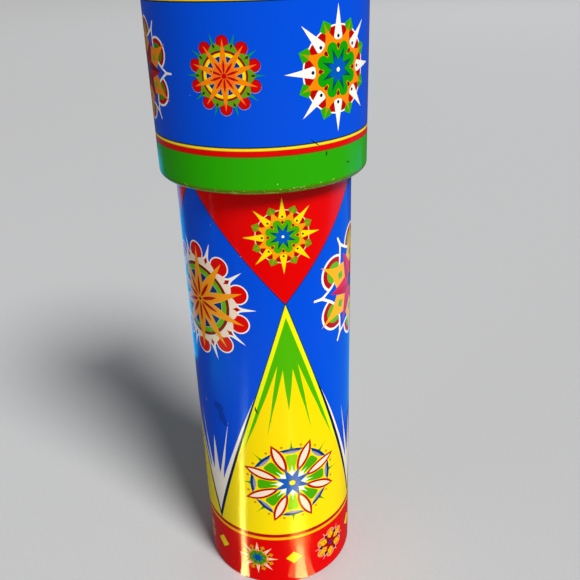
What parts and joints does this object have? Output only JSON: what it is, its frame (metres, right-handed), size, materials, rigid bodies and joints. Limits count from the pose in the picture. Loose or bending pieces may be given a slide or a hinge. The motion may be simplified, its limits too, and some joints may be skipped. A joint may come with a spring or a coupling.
{
  "type": "kaleidoscope",
  "caption": "Tin kaleidoscope: a printed tube on its eyepiece end with mirrors inside, and a wider printed drum with an object cell that turns on the tube.",
  "frame": {"origin": "centre of the ring at the eyepiece end that the tube stands on", "axes": "+Z along the tube's axis from the eyepiece to the drum; -Y towards the side whose printed red and yellow panels face the viewer"},
  "size_m": [0.0526, 0.0526, 0.1766],
  "materials": {
    "tube_print": "glossy lacquered tin print",
    "drum_print": "glossy lacquered tin print",
    "cap_plastic": "satin black",
    "clear_window": "clear plastic sheet",
    "card": "grey-brown pressed card",
    "mirror_glass": "polished mirror",
    "packer_foam": "dark foam",
    "ring_steel": "plain sheet steel",
    "washer_felt": "dark felt",
    "spacer_plastic": "white moulded plastic",
    "frosted_plastic": "frosted translucent plastic",
    "bead_ruby": "clear coloured plastic",
    "bead_amber": "clear coloured plastic",
    "bead_teal": "clear coloured plastic",
    "bead_violet": "clear coloured plastic",
    "bead_lime": "clear coloured plastic",
    "bead_azure": "clear coloured plastic",
    "bead_rose": "clear coloured plastic"
  },
  "bodies": {
    "tube": {"body_tube": "tube_print", "eyepiece_cap": "cap_plastic", "eyepiece_window": "clear_window", "eyepiece_retainer": "card", "mirror_end_ring_lower": "card", "mirror_end_ring_upper": "card", "mirror_strip_1": "mirror_glass", "mirror_strip_2": "mirror_glass", "mirror_strip_3": "mirror_glass", "mirror_packer_1": "packer_foam", "mirror_packer_2": "packer_foam", "mirror_packer_3": "packer_foam", "tube_stop_ring": "ring_steel", "tube_guide_ring": "card"},
    "drum": {"drum_shell": "drum_print", "felt_washer": "washer_felt", "inner_window": "clear_window", "cell_spacer_ring": "spacer_plastic", "diffuser": "frosted_plastic", "drum_snap_ring": "ring_steel", "bead_01_ball": "bead_ruby", "bead_02_star": "bead_amber", "bead_03_cube": "bead_teal", "bead_04_chip": "bead_violet", "bead_05_tube": "bead_lime", "bead_06_ball": "bead_azure", "bead_07_star": "bead_rose", "bead_08_cube": "bead_amber", "bead_09_chip": "bead_lime", "bead_10_tube": "bead_ruby", "bead_11_ball": "bead_violet", "bead_12_star": "bead_teal", "bead_13_cube": "bead_rose", "bead_14_chip": "bead_azure"}
  },
  "joints": [
    {"name": "drum_turn", "type": "hinge", "parent": "tube", "child": "drum", "pos_m": [0, 0, 0.126], "axis": [0, 0, 1], "continuous": true}
  ]
}
